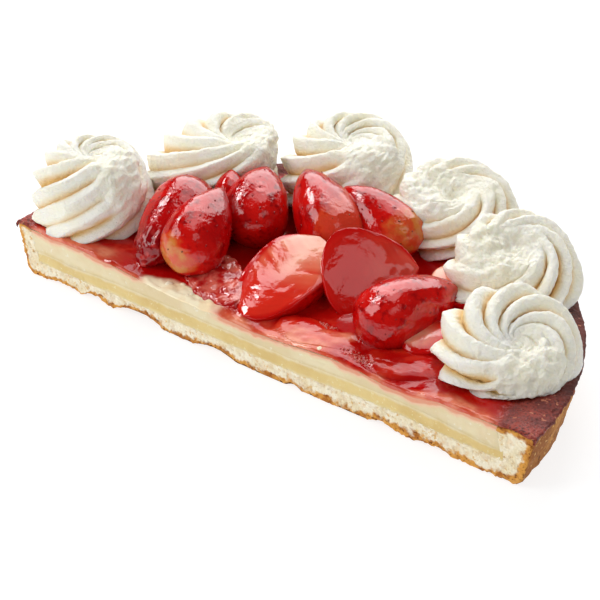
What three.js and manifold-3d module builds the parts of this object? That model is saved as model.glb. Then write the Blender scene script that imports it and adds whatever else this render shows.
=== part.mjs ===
// Half of a round strawberry tart: a shortcrust case with a custard layer and a cream
// layer in it, a thin red glaze, halved and sliced strawberries, and piped cream rosettes.
// Millimetres, +Z up. The knife cut is the flat side, facing -Y. The origin lies under
// the middle of the half, on the surface that the tart stands on.
import * as THREE from "three";
import { mergeVertices } from "three/addons/utils/BufferGeometryUtils.js";
import Module from "manifold-3d";

const wasm = await Module();
wasm.setup();

// ---- driving dimensions ----
const RIM_RADIUS = 130; // outer edge of the rim: a 260 mm tart
const BASE_RADIUS = 125; // the case narrows towards its base
const TART_HEIGHT = 24.7; // to the top of the glazed rim
const RIM_CROWN = 0.9; // how much the middle of the rim stands over its edges
const WALL_TOP_RIGHT = 17; // thickness of the wall at its top, at the right end of the cut
const WALL_TOP_LEFT = 9.5; // and at the left end
const WALL_FOOT_RIGHT = 9; // thickness of the wall at the floor, right
const WALL_FOOT_LEFT = 8; // and left
const FLOOR_THICKNESS = 7.6;
const FLOOR_RISE = 1.6; // the floor is thicker under the right half
const FLOOR_RISE_FROM = 5; // and grows between these places along the cut
const FLOOR_RISE_TO = 60;
const CUSTARD_DEPTH = 5.9;
const CUSTARD_THINNER_RIGHT = 1.9; // how much less of it there is towards the right end
const CUSTARD_THINNER_LEFT = 0.8; // and towards the left end
const CREAM_TOP = 18.6; // top of the cream layer in the middle of the tart
const CREAM_RISE = 3.2; // the cream climbs towards the wall
const CREAM_RISE_FROM = 38; // between these radii
const CREAM_RISE_TO = 96;
const CREAM_WAVES = [
  { x: 38, reach: 26, height: 2.2 }, // swelling between the strawberries at the cut
  { x: 4, reach: 20, height: -0.9 }, // and pressed down where they stand
  { x: 69, reach: 20, height: -1.3 },
];
const CREAM_WAVE_DEPTH = 40; // how far those waves reach in from the cut
const GLAZE_THICKNESS = 1.4;
const GAP = 0.3; // clearance between neighbouring pieces
const BASE_ROUNDING = 3; // rounding of the case's bottom edge
const RIM_ROUNDING = 0.5; // and of the rim's outer edge
const FOOT_FILLET = 2; // where the floor turns up into the wall
const SHARED_MARGIN = 6; // the layers share their points up to this far from the wall's foot
const CUT_CLEARANCE = 0.2; // toppings end this far behind the cut
const BED_MARGIN = 20; // the block under the toppings reaches this far past the rim
const TURN_STEPS = 28; // sections in the half turn
const RING_STEPS = 8; // points from the middle of a layer to its edge
const ROSETTE_RIDGES = 8;
const RIDGE_SIDES = 4; // points across one ridge
const BERRY_SIDES = 11;
const BERRY_RINGS = 6;
const END_RING = 0.12; // how far the first ring lies from the end, as a share of a ring
const BERRY_LEAN = 0.08; // how far a berry bows to one side, as a share of its length
const BERRY_LOBE = 0.04; // how uneven its girth is
const CUT_BLOCK = 130; // larger than any berry
const CRAG = 0.55; // unevenness of the baked crust
const WALL_INSET = 0.6; // the wall's faces lie this far within its outer edge
const WALL_RINGS = [0.09, 0.32, 0.55, 0.78]; // shares of the height with points outside
const CUSTARD_CLIMB = 0.45; // how much of the wall's slope the custard's edge follows
const CREAM_CLIMB = 0.3; // and the cream's lower edge
const EDGE_INSET = 3; // the layers' lower edges stand this far off the wall
const CUSTARD_EDGE_INSET = 2;

// ---- colours ----
const CRUST_COLOUR = 0xc9924f;
const CUSTARD_COLOUR = 0xe3cd8b;
const CREAM_COLOUR = 0xf1e6c6;
const GLAZE_COLOUR = 0x9c2a26;
const BERRY_COLOUR = 0xc8181a;
const WHIPPED_COLOUR = 0xf4f1e8;

// ---- small helpers ----
const { lerp, smoothstep, degToRad } = THREE.MathUtils;

function seededRandom(seed) {
  let state = seed >>> 0;
  return () => {
    state = (Math.imul(state, 1664525) + 1013904223) >>> 0;
    return state / 4294967296;
  };
}

// A smooth bump of height 1 at centre that is gone at centre +- reach.
function bump(value, centre, reach) {
  const distance = Math.abs(value - centre) / reach;
  return distance < 1 ? 0.5 + 0.5 * Math.cos(Math.PI * distance) : 0;
}

// A smooth unevenness between -1 and 1 that depends on the place alone.
function unevenness(x, y, wavelength, seed) {
  const u = (2 * Math.PI * x) / wavelength;
  const v = (2 * Math.PI * y) / wavelength;
  const first = Math.sin(u + 1.7 * Math.sin(0.61 * v + seed));
  const second = Math.sin(1.31 * v + 1.3 * Math.cos(0.83 * u + 2 * seed));
  return 0.5 * (first + second);
}

// ---- closed bodies from rows of points ----
// Every row has as many points as the next, and the last point joins the first. The
// first and the last row are closed by triangles over their own outline.
function loft(rows, capTriangles) {
  const count = rows[0].length;
  const positions = rows.flat().flatMap((point) => point.toArray());
  const index = [];
  for (let row = 0; row + 1 < rows.length; row += 1) {
    for (let i = 0; i < count; i += 1) {
      const a = row * count + i;
      const b = row * count + ((i + 1) % count);
      index.push(a, b, b + count, a, b + count, a + count);
    }
  }
  const last = (rows.length - 1) * count;
  for (const [a, b, c] of capTriangles) {
    index.push(a, c, b);
    index.push(last + a, last + b, last + c);
  }
  const geometry = new THREE.BufferGeometry();
  geometry.setAttribute("position", new THREE.Float32BufferAttribute(positions, 3));
  geometry.setIndex(index);
  return geometry;
}

function fan(count) {
  return Array.from({ length: count - 2 }, (_, i) => [0, i + 1, i + 2]);
}

// Geometry to manifold solid. Points that fall together, such as those on the axis, are
// merged, and triangles that vanish with them are left out.
function solidOf(geometry) {
  const bare = geometry.clone();
  bare.deleteAttribute("normal");
  bare.deleteAttribute("uv");
  const merged = mergeVertices(bare, 1e-4);
  const kept = [];
  for (let i = 0; i < merged.index.count; i += 3) {
    const [a, b, c] = merged.index.array.slice(i, i + 3);
    if (a !== b && b !== c && c !== a) kept.push(a, b, c);
  }
  const mesh = new wasm.Mesh({
    numProp: 3,
    vertProperties: new Float32Array(merged.attributes.position.array),
    triVerts: new Uint32Array(kept),
  });
  return new wasm.Manifold(mesh);
}

function geometryOf(solid) {
  const mesh = solid.getMesh();
  const geometry = new THREE.BufferGeometry();
  geometry.setAttribute("position", new THREE.BufferAttribute(mesh.vertProperties, 3));
  geometry.setIndex(new THREE.BufferAttribute(mesh.triVerts, 1));
  geometry.computeVertexNormals();
  return geometry;
}

// ---- the layers: a section swept through the half turn ----
// sectionAt(turn) gives [radius, height] points, counter-clockwise, that start and end
// on the axis.
function halfTurn(sectionAt) {
  const rows = [];
  for (let step = 0; step <= TURN_STEPS; step += 1) {
    const turn = (Math.PI * step) / TURN_STEPS;
    const cos = step * 2 === TURN_STEPS ? 0 : Math.cos(turn);
    const sin = step === TURN_STEPS ? 0 : Math.sin(turn);
    rows.push(sectionAt(turn).map(([r, z]) => new THREE.Vector3(r * cos, r * sin, z)));
  }
  const outline = sectionAt(0).map(([r, z]) => new THREE.Vector2(r, z));
  return loft(rows.reverse(), THREE.ShapeUtils.triangulateShape(outline, []));
}

// Points across a layer from the axis out to its edges, with the height from the place.
// All layers share the points within the foot of the wall, so that none cuts another.
function across(turn, edges, heightAt) {
  const shared = Array.from({ length: RING_STEPS }, (_, i) => {
    return ((fillingFootRadius(turn) - SHARED_MARGIN) * i) / (RING_STEPS - 1);
  });
  return [...shared, ...edges].map((radius) => {
    return [radius, heightAt(radius * Math.cos(turn), radius * Math.sin(turn))];
  });
}

const rightness = (turn) => 0.5 + 0.5 * Math.cos(turn);
const wallTop = (turn) => lerp(WALL_TOP_LEFT, WALL_TOP_RIGHT, rightness(turn));
const wallFoot = (turn) => lerp(WALL_FOOT_LEFT, WALL_FOOT_RIGHT, rightness(turn));
const fillingTopRadius = (turn) => RIM_RADIUS - wallTop(turn);
const fillingFootRadius = (turn) => BASE_RADIUS - wallFoot(turn);
const creamEdge = (turn) => fillingTopRadius(turn) - 3 * GAP;

// Inner edge, middle and outer edge of the rim.
function rimRadii(turn) {
  const inner = fillingTopRadius(turn);
  const outer = RIM_RADIUS - RIM_ROUNDING;
  return [inner, (inner + outer) / 2, outer];
}

function outerRadius(height) {
  return lerp(BASE_RADIUS, RIM_RADIUS, height / TART_HEIGHT);
}

function floorTop(x, y) {
  const rise = FLOOR_RISE * smoothstep(x, FLOOR_RISE_FROM, FLOOR_RISE_TO);
  return FLOOR_THICKNESS + rise + 0.3 * unevenness(x, y, 70, 1);
}

function custardTop(x, y) {
  const right = CUSTARD_THINNER_RIGHT * smoothstep(x, 85, 112);
  const left = CUSTARD_THINNER_LEFT * smoothstep(-x, 60, 100);
  return floorTop(x, y) + CUSTARD_DEPTH - right - left;
}

// The cream layer is pressed down where strawberries stand and swells between them.
function creamTop(x, y) {
  const climb = CREAM_RISE * smoothstep(Math.hypot(x, y), CREAM_RISE_FROM, CREAM_RISE_TO);
  const waves = CREAM_WAVES.reduce((sum, w) => sum + w.height * bump(x, w.x, w.reach), 0);
  const level = CREAM_TOP + climb + 0.25 * unevenness(x, y, 48, 3);
  return level + waves * bump(y, 0, CREAM_WAVE_DEPTH);
}

// The top of the glaze, on the cream layer and over the rim.
function glazeTop(x, y) {
  const turn = Math.atan2(y, x);
  const radius = Math.hypot(x, y);
  const inner = fillingTopRadius(turn);
  const rim = TART_HEIGHT - GLAZE_THICKNESS - GAP;
  const crown = RIM_CROWN * bump(radius, (inner + RIM_RADIUS) / 2, (RIM_RADIUS - inner) / 2);
  const onRim = smoothstep(radius, inner - 8, inner + 3);
  const under = lerp(creamTop(x, y), rim - RIM_CROWN + crown, onRim);
  return under + GAP + GLAZE_THICKNESS;
}

const caseTop = (x, y) => glazeTop(x, y) - GLAZE_THICKNESS - GAP;

// The case: floor and wall in one piece, baked uneven outside.
function crustSection(turn) {
  const wave = (height) => CRAG * unevenness(turn * RIM_RADIUS, 9 * height, 34, 5);
  const outer = WALL_RINGS.map((share) => {
    const height = share * TART_HEIGHT;
    return [outerRadius(height) - WALL_INSET + wave(height), height];
  });
  const place = (radius) => [radius * Math.cos(turn), radius * Math.sin(turn)];
  const inner = fillingTopRadius(turn);
  const foot = fillingFootRadius(turn);
  const rim = rimRadii(turn).reverse().map((radius) => [radius, caseTop(...place(radius))]);
  return [
    ...across(turn, [BASE_RADIUS - BASE_ROUNDING], () => 0),
    ...outer,
    ...rim,
    [lerp(foot, inner, CUSTARD_CLIMB), lerp(floorTop(...place(foot)), TART_HEIGHT, 0.4)],
    ...across(turn, [foot - FOOT_FILLET], floorTop).reverse(),
  ];
}

// Pieces broken out of the bottom edge of the case along the cut: where, how wide and
// how high each one is.
const CHIPS = [
  { x: -103, width: 17, height: 1.4 },
  { x: -86, width: 14, height: 2.3 },
  { x: -61, width: 26, height: 4.2 },
  { x: -20, width: 21, height: 2.4 },
  { x: 20.5, width: 6, height: 1.6 },
  { x: 63, width: 13, height: 2.1 },
  { x: 86, width: 15, height: 1.3 },
];
const CHIP_REACH = 5; // how far a broken place reaches in from the cut

function chipGeometry({ x, width, height }, seed) {
  const random = seededRandom(seed);
  const geometry = mergeVertices(bareIcosahedron(), 1e-4);
  const position = geometry.attributes.position;
  for (let i = 0; i < position.count; i += 1) {
    const rough = 0.85 + 0.3 * random();
    position.setXYZ(
      i,
      x + 0.5 * width * rough * position.getX(i),
      CHIP_REACH * rough * position.getY(i),
      height * rough * position.getZ(i),
    );
  }
  return geometry;
}

function bareIcosahedron() {
  const geometry = new THREE.IcosahedronGeometry(1, 1);
  geometry.deleteAttribute("normal");
  geometry.deleteAttribute("uv");
  return geometry;
}

function crustSolid() {
  return CHIPS.reduce(
    (solid, chip, i) => solid.subtract(solidOf(chipGeometry(chip, 41 + i))),
    solidOf(halfTurn(crustSection)),
  );
}

function custardSection(turn) {
  const foot = fillingFootRadius(turn);
  const top = lerp(foot, fillingTopRadius(turn), CUSTARD_CLIMB) - 2 * GAP;
  return [
    ...across(turn, [foot - GAP - EDGE_INSET], (x, y) => floorTop(x, y) + GAP),
    ...across(turn, [top - CUSTARD_EDGE_INSET], custardTop).reverse(),
  ];
}

function creamSection(turn) {
  const low = lerp(fillingFootRadius(turn), fillingTopRadius(turn), CREAM_CLIMB);
  return [
    ...across(turn, [low - EDGE_INSET], (x, y) => custardTop(x, y) + GAP),
    ...across(turn, [creamEdge(turn)], creamTop).reverse(),
  ];
}

function glazeSection(turn) {
  const edges = [creamEdge(turn), ...rimRadii(turn)];
  return [
    ...across(turn, edges, (x, y) => glazeTop(x, y) - GLAZE_THICKNESS),
    ...across(turn, edges, glazeTop).reverse(),
  ];
}

// What the toppings stand on, as a block that reaches GAP over the glaze.
function bedSection(turn) {
  const edges = [creamEdge(turn), ...rimRadii(turn)];
  return [
    [0, 0],
    [RIM_RADIUS + BED_MARGIN, 0],
    [RIM_RADIUS + BED_MARGIN, TART_HEIGHT + GAP],
    ...across(turn, edges, (x, y) => glazeTop(x, y) + GAP).reverse(),
  ];
}

// ---- piped rosettes ----
// Share of the radius and of the height of a rosette, from under its skirt to its middle.
const ROSETTE_PROFILE = [
  [0.78, -0.3],
  [0.9, -0.05],
  [0.99, 0.2],
  [1.0, 0.42],
  [0.95, 0.64],
  [0.83, 0.84],
  [0.66, 0.97],
  [0.46, 1.0],
  [0.27, 0.93],
  [0.12, 0.84],
];
const GROOVE_DEPTH = 0.22; // depth of the grooves as a share of the radius
const STEEP_SIDE = 0.7; // below 1, a ridge is steeper on the side that faces outwards
const SLANT_INSIDE = 1.2; // how far a ridge goes round for each step inwards, near the middle
const LEAN_TO = degToRad(-52); // the rosettes are lower towards this side

// How far the ridges have turned at each level, from the skirt inwards.
function ridgeTwists({ radius, height, wind }) {
  const twists = [0];
  for (let level = 1; level < ROSETTE_PROFILE.length; level += 1) {
    const [share, lift] = ROSETTE_PROFILE[level];
    const [lastShare, lastLift] = ROSETTE_PROFILE[level - 1];
    const step = Math.hypot((share - lastShare) * radius, (lift - lastLift) * height);
    const between = (share + lastShare) / 2;
    const slant = lerp(SLANT_INSIDE, wind, smoothstep(between, 0.45, 0.95));
    twists.push(twists[level - 1] + (slant * step) / (between * radius));
  }
  return twists;
}

function rosetteGeometry(rosette, grow = 0) {
  const { radius, height, turn, torn, middle, lean, depth, seed } = rosette;
  const random = seededRandom(seed);
  const swells = Array.from({ length: ROSETTE_RIDGES }, () => 0.7 + 0.6 * random());
  const reach = Array.from({ length: ROSETTE_RIDGES }, () => 0.96 + 0.11 * random());
  const ends = Array.from({ length: ROSETTE_RIDGES }, (_, i) => 0.04 + 0.3 * (i % 2) * random());
  const columns = ROSETTE_RIDGES * RIDGE_SIDES;
  const tornSpot = new THREE.Vector2(torn.off, 0).rotateAround(new THREE.Vector2(), torn.side);
  const last = ROSETTE_PROFILE.length - 1;
  const twists = ridgeTwists(rosette);
  const rows = ROSETTE_PROFILE.map(([share, lift], level) => {
    const before = ROSETTE_PROFILE[Math.max(0, level - 1)];
    const after = ROSETTE_PROFILE[Math.min(last, level + 1)];
    const along = new THREE.Vector2(
      (after[0] - before[0]) * radius,
      (after[1] - before[1]) * height,
    ).normalize();
    const upper = smoothstep(level / (last + 1), 0.25, 0.8);
    const tilt = lean * smoothstep(level / (last + 1), 0.1, 0.5);
    const sharpness = lerp(2.2, 1.15, smoothstep(share, 0.5, 0.95));
    return Array.from({ length: columns }, (_, column) => {
      const ridge = Math.floor(column / RIDGE_SIDES);
      const part = (column % RIDGE_SIDES) / RIDGE_SIDES;
      const groove = Math.round(column / RIDGE_SIDES) % ROSETTE_RIDGES;
      const crest = 1 - Math.abs(2 * part ** STEEP_SIDE - 1) ** sharpness;
      const angle = turn + (2 * Math.PI * column) / columns + twists[level];
      const spot = new THREE.Vector2(share * Math.cos(angle), share * Math.sin(angle));
      const away = spot.distanceTo(tornSpot) / torn.spread;
      const smooth = (1 - smoothstep(away, 0.45, 1)) * smoothstep(lift, 0.1, 0.6);
      const ending = smoothstep(share, ends[groove], ends[groove] + 0.22);
      const fade = lerp(0.45, 1, smoothstep(share, 0.1, 0.6)) * ending * (1 - 0.95 * smooth);
      const sunk = GROOVE_DEPTH * radius * fade * swells[groove] * (1 - crest) - grow;
      const skirt = lerp(1, reach[ridge], bump(lift, 0.3, 0.5) * crest);
      const r = share * radius * skirt - sunk * along.y;
      const x = r * Math.cos(angle) + middle[0] * upper;
      const y = r * Math.sin(angle) + middle[1] * upper;
      const towards = x * Math.cos(LEAN_TO) + y * Math.sin(LEAN_TO);
      const flatter = (1 - depth) * towards;
      return new THREE.Vector3(
        x - flatter * Math.cos(LEAN_TO),
        y - flatter * Math.sin(LEAN_TO),
        lift * height + sunk * along.x - tilt * depth * towards,
      );
    });
  });
  return loft(rows, fan(columns));
}

// Each rosette: its place round the tart and its size, how far its middle lies off and how
// much it leans, where the nozzle tore away from it, and how far its ridges wind round.
const ROSETTE_CIRCLE = 102.5; // radius on which they are piped
const ROSETTES = [
  {
    angle: 19.2, out: -1.5, lift: -1, radius: 28.4, height: 21, turn: 0.2, wind: 1.5, seed: 11,
    middle: [6, -1], lean: 0.42, depth: 0.86, torn: { side: -0.45, off: 0.5, spread: 0.62 },
  },
  {
    angle: 47.4, out: 1.6, lift: 1, radius: 27.4, height: 22, turn: 0.6, wind: 1.7, seed: 12,
    middle: [0, 3], lean: 0.36, depth: 0.88, torn: { side: -2.0, off: 0.3, spread: 0.55 },
  },
  {
    angle: 75.6, out: 2.6, lift: 0, radius: 27.8, height: 25, turn: 0.1, wind: 1.8, seed: 13,
    middle: [1, -1], lean: 0.28, depth: 0.88, torn: { side: -2.3, off: 0.35, spread: 0.55 },
  },
  {
    angle: 105.6, out: 0, lift: 0, radius: 28.8, height: 31, turn: 0.4, wind: 2.2, seed: 14,
    middle: [-2, 8], lean: 0.1, depth: 0.88, torn: { side: -0.2, off: 0.6, spread: 0.6 },
  },
  {
    angle: 139.3, out: -0.4, lift: 0, radius: 28.6, height: 31.5, turn: 0.5, wind: 2.4, seed: 15,
    middle: [8, 11], lean: 0.06, depth: 0.88, torn: { side: 0.5, off: 0.6, spread: 0.6 },
  },
  {
    angle: 168.8, out: 3.4, lift: 0, radius: 26, height: 31.5, turn: 0.3, wind: 2.3, seed: 16,
    middle: [-6, 9], lean: 0, depth: 0.85, torn: { side: 0.35, off: 0.7, spread: 0.6 },
  },
];
const SKIRT_LEVEL = 23.2; // height at which the skirts are widest when the bed is level

function rosetteSolid(rosette, grow = 0) {
  const circle = ROSETTE_CIRCLE + rosette.out;
  const angle = degToRad(rosette.angle);
  const geometry = rosetteGeometry(rosette, grow);
  const level = SKIRT_LEVEL + rosette.lift;
  geometry.translate(circle * Math.cos(angle), circle * Math.sin(angle), level);
  return solidOf(geometry);
}

// ---- strawberries ----
const WIDEST = 0.36; // where a strawberry is widest, as a share from its stem end

// The half width of a strawberry as a share of its widest, from the stem end to the tip.
// A low point makes a blunt tip.
function berryHalfWidth(share, point) {
  if (share < WIDEST) return (1 - ((WIDEST - share) / WIDEST) ** 2.6) ** 0.5;
  return (1 - ((share - WIDEST) / (1 - WIDEST)) ** 1.9) ** point;
}

// Directions of a strawberry: along its axis, sideways in its cut face, and out of it.
function berryDirections({ stem, tip, face }) {
  const along = new THREE.Vector3(...tip).sub(new THREE.Vector3(...stem)).normalize();
  const out = new THREE.Vector3(...face);
  out.addScaledVector(along, -out.dot(along)).normalize();
  return { along, out, side: new THREE.Vector3().crossVectors(out, along) };
}

// A whole strawberry between its stem and tip points.
function berryGeometry(berry, grow) {
  const { width, point = 0.72, seed } = berry;
  const { along, side, out } = berryDirections(berry);
  const from = new THREE.Vector3(...berry.stem);
  const length = from.distanceTo(new THREE.Vector3(...berry.tip));
  const lean = BERRY_LEAN * (seededRandom(seed)() - 0.5);
  const rows = Array.from({ length: BERRY_RINGS + 1 }, (_, ring) => {
    const share = 0.5 - 0.5 * Math.cos((Math.PI * (ring + END_RING)) / (BERRY_RINGS + 2 * END_RING));
    const half = 0.5 * width * berryHalfWidth(share, point) + grow;
    const bow = Math.sin(Math.PI * share);
    return Array.from({ length: BERRY_SIDES }, (__, i) => {
      const angle = (2 * Math.PI * i) / BERRY_SIDES;
      const radius = half * (1 + BERRY_LOBE * Math.cos(3 * angle + seed) * bow);
      return from
        .clone()
        .addScaledVector(along, share * (length + 2 * grow) - grow)
        .addScaledVector(side, radius * Math.cos(angle) + lean * length * bow)
        .addScaledVector(out, radius * Math.sin(angle));
    });
  });
  return loft(rows, fan(BERRY_SIDES));
}

// The block that the knife took away: all that lies further out than cut.
function cutAway(berry, grow) {
  const { along, side, out } = berryDirections(berry);
  const block = new THREE.BoxGeometry(CUT_BLOCK, CUT_BLOCK, CUT_BLOCK);
  block.translate(0, 0, CUT_BLOCK / 2 + berry.cut + grow);
  const place = new THREE.Matrix4().makeBasis(along, side, out);
  block.applyMatrix4(place.setPosition(new THREE.Vector3(...berry.stem)));
  return solidOf(block);
}

function berrySolid(berry, grow = 0) {
  return solidOf(berryGeometry(berry, grow)).subtract(cutAway(berry, grow));
}

// The strawberry pieces, those that keep their whole shape first: stem and tip points
// from the middle of the cut, width, the way the cut face looks, and how far the cut
// lies from the axis.
const BERRIES = [
  { stem: [-2, 47, 39], tip: [-7, 3, 22], width: 36, face: [-0.05, -0.42, 0.9], cut: 0, point: 0.5, seed: 21 },
  { stem: [42, 14, 27], tip: [58, 57, 32], width: 29, face: [0, 0, -1], cut: 9, seed: 22 },
  { stem: [13, 29, 35], tip: [38, 60, 32.5], width: 38, face: [0.59, -0.45, 0.66], cut: 0, seed: 23 },
  { stem: [-43, 7, 26], tip: [-50, 44, 47], width: 28, face: [0, 0.4, -1], cut: 9, point: 0.95, seed: 24 },
  { stem: [4, 57, 27], tip: [-31, 75, 48], width: 28, face: [-0.4, 0.5, -1], cut: 7, seed: 25 },
  { stem: [-34, 42, 26], tip: [-48, 70, 46], width: 28, face: [0, 0.5, -1], cut: 8, seed: 26 },
  { stem: [26, 77, 29], tip: [-13, 78, 44], width: 23, face: [0, 0.6, -1], cut: 6, seed: 27 },
  { stem: [-67, 50, 40], tip: [-62, 5, 23], width: 28, face: [0.5, 0.3, -1], cut: 8, seed: 28 },
  { stem: [-50, 48, 28], tip: [-57, 58, 47], width: 17, face: [0, 1, 0], cut: 5, seed: 29 },
  { stem: [42, 66, 27], tip: [77, 61, 31], width: 27, face: [0, -0.2, 1], cut: 4, seed: 30 },
  { stem: [55, 22, 23], tip: [75, 40, 26], width: 19, face: [0, -0.2, 1], cut: 4, seed: 31 },
  { stem: [49, 9, 21], tip: [83, 19, 22], width: 19, face: [0, 0, 1], cut: 2.4, seed: 32 },
  { stem: [-44, 25, 24], tip: [-12, 5, 21], width: 23, face: [0, -0.2, 1], cut: 3, seed: 33 },
  { stem: [5, 12, 19.5], tip: [44, 10, 21], width: 17, face: [0, 0, 1], cut: 2, seed: 34 },
];

// ---- assembly ----
const tart = new THREE.Group();
tart.position.y = -RIM_RADIUS / 2;

function addPiece(name, solid, color, roughness) {
  const material = new THREE.MeshStandardMaterial({ color, roughness, metalness: 0 });
  const mesh = new THREE.Mesh(geometryOf(solid), material);
  mesh.name = name;
  tart.add(mesh);
}

addPiece("crust", crustSolid(), CRUST_COLOUR, 0.85);
addPiece("custard", solidOf(halfTurn(custardSection)), CUSTARD_COLOUR, 0.5);
addPiece("cream_filling", solidOf(halfTurn(creamSection)), CREAM_COLOUR, 0.6);
addPiece("glaze", solidOf(halfTurn(glazeSection)), GLAZE_COLOUR, 0.15);

// Everything on top stands clear of the bed, and a later piece clear of earlier ones.
const bed = solidOf(halfTurn(bedSection));
const beyondCut = new THREE.BoxGeometry(3 * RIM_RADIUS, RIM_RADIUS, RIM_RADIUS);
beyondCut.translate(0, CUT_CLEARANCE - RIM_RADIUS / 2, RIM_RADIUS / 2 - 1);
let taken = bed.add(solidOf(beyondCut));

BERRIES.forEach((berry, i) => {
  addPiece(`strawberry_${i + 1}`, berrySolid(berry).subtract(taken), BERRY_COLOUR, 0.2);
  taken = taken.add(berrySolid(berry, GAP));
});

ROSETTES.forEach((rosette, i) => {
  addPiece(`rosette_${i + 1}`, rosetteSolid(rosette).subtract(taken), WHIPPED_COLOUR, 0.7);
  taken = taken.add(rosetteSolid(rosette, GAP));
});

export default tart;
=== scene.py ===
"""Half of a round strawberry tart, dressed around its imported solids.

Shapes are worked out in millimetres in the tart's own frame, where the knife cut is the
plane y = 0, and to_scene() turns them into the frame's metres.
"""
import itertools
import math

import bpy
import numpy as np
from mathutils import Matrix, Vector
from mathutils.bvhtree import BVHTree


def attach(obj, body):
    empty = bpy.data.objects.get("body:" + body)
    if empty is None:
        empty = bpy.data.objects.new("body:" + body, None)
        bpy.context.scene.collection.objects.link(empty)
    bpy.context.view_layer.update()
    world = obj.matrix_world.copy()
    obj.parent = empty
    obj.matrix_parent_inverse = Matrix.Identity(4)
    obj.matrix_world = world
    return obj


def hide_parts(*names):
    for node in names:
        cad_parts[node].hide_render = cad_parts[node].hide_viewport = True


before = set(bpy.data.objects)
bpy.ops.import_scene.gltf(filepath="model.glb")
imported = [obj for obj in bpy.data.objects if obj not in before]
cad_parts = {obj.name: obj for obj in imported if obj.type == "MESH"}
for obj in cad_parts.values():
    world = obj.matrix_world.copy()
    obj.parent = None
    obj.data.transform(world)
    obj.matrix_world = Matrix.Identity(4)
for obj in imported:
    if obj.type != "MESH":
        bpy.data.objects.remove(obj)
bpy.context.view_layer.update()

MM = 0.001
CUT_Y = -65.0  # the knife cut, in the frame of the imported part
ROOT = "root"

# ---- driving dimensions, in millimetres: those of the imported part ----
RIM_RADIUS = 130.0
BASE_RADIUS = 125.0
TART_HEIGHT = 24.7
RIM_CROWN = 0.9
WALL_TOP_RIGHT = 17.0
WALL_TOP_LEFT = 9.5
WALL_FOOT_RIGHT = 9.0
WALL_FOOT_LEFT = 8.0
FLOOR_THICKNESS = 7.6
FLOOR_RISE = 1.6
CUSTARD_DEPTH = 5.9
CREAM_TOP = 18.6
CREAM_RISE = 3.2
GLAZE_THICKNESS = 1.4
GAP = 0.3
CUT_CLEARANCE = 0.2
ON_CUT = 0.01  # points nearer to the cut than this lie on it


# ---- small helpers ----
CELL_HASH = (73856093, 19349663, 83492791)
MIX_HASH = (1274126177, 668265263)
HASH_LIMIT = 0x7FFFFFFF


def lerp(a, b, share):
    return a + (b - a) * share


def smoothstep(value, low, high):
    share = np.clip((np.asarray(value, float) - low) / (high - low), 0, 1)
    return share * share * (3 - 2 * share)


def bump(value, centre, reach):
    """A smooth bump of height 1 at centre that is gone at centre +- reach."""
    distance = np.abs(np.asarray(value, float) - centre) / reach
    return np.where(distance < 1, 0.5 + 0.5 * np.cos(np.pi * np.minimum(distance, 1)), 0)


def soft_min(a, b, blend):
    """The smaller of a and b, rounded where they meet."""
    return 0.5 * (a + b - np.sqrt((a - b) ** 2 + blend**2))


def soft_max(a, b, blend):
    return -soft_min(-a, -b, blend)


def lumps(points, size, seed=0):
    """Smooth noise from -1 to 1 at each point, with lumps of about the given size."""
    scaled = np.asarray(points, float) / size + 17.13 * seed + 400
    cell = np.floor(scaled).astype(np.int64)
    part = scaled - cell
    part = part * part * (3 - 2 * part)
    total = np.zeros(scaled.shape[:-1])
    for corner in itertools.product((0, 1), repeat=3):
        x, y, z = np.moveaxis(cell + np.array(corner), -1, 0)
        mixed = (x * CELL_HASH[0]) ^ (y * CELL_HASH[1]) ^ (z * CELL_HASH[2])
        mixed = ((mixed ^ (mixed >> 13)) * MIX_HASH[0]) & HASH_LIMIT
        mixed = ((mixed ^ (mixed >> 11)) * MIX_HASH[1]) & HASH_LIMIT
        weight = np.prod(np.where(corner, part, 1 - part), axis=-1)
        total += weight * mixed / HASH_LIMIT
    return 2 * total - 1


def relief(points, *layers):
    """Unevenness in layers, each given as its height, the size of its lumps and its seed."""
    return sum(height * lumps(points, size, seed) for height, size, seed in layers)


def unevenness(x, y, wavelength, seed):
    """The slow unevenness that the solids have too."""
    u = 2 * np.pi * x / wavelength
    v = 2 * np.pi * y / wavelength
    first = np.sin(u + 1.7 * np.sin(0.61 * v + seed))
    second = np.sin(1.31 * v + 1.3 * np.cos(0.83 * u + 2 * seed))
    return 0.5 * (first + second)


def to_scene(points):
    return (np.asarray(points, float) + (0, CUT_Y, 0)) * MM


def flat(x, y):
    """Points on the plane z = 0, for noise that depends on the place alone."""
    x, y = np.broadcast_arrays(x, y)
    return np.stack([x, y, np.zeros_like(x)], -1)


def around(radius, turn):
    """The place at this distance from the middle, turned from the right end of the cut."""
    return radius * math.cos(turn), radius * math.sin(turn)


# ---- meshes ----
CORNER = math.radians(65)  # a bend past this stays sharp
MERGE_DISTANCE = 2e-6  # in metres


def select_only(*pieces):
    """Selects these pieces and nothing else, with the first one active."""
    bpy.ops.object.select_all(action="DESELECT")
    for piece in pieces:
        piece.select_set(True)
    if pieces:
        bpy.context.view_layer.objects.active = pieces[0]


def attribute(piece, key, values):
    layer = piece.data.attributes.new(key, "FLOAT", "POINT")
    layer.data.foreach_set("value", np.ascontiguousarray(values, np.float32).ravel())


def sheet(name, points, **attributes):
    """A grid of rows and columns laid through the points, with vertex attributes."""
    rows, columns = points.shape[:2]
    select_only()
    bpy.ops.mesh.primitive_grid_add(
        x_subdivisions=columns - 1, y_subdivisions=rows - 1, size=1, location=(0, 0, 0)
    )
    piece = bpy.context.object
    piece.name = piece.data.name = name
    move_points(piece, points)
    for key, values in attributes.items():
        attribute(piece, key, np.broadcast_to(values, (rows, columns)))
    for layer in list(piece.data.uv_layers):
        piece.data.uv_layers.remove(layer)
    return piece


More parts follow.
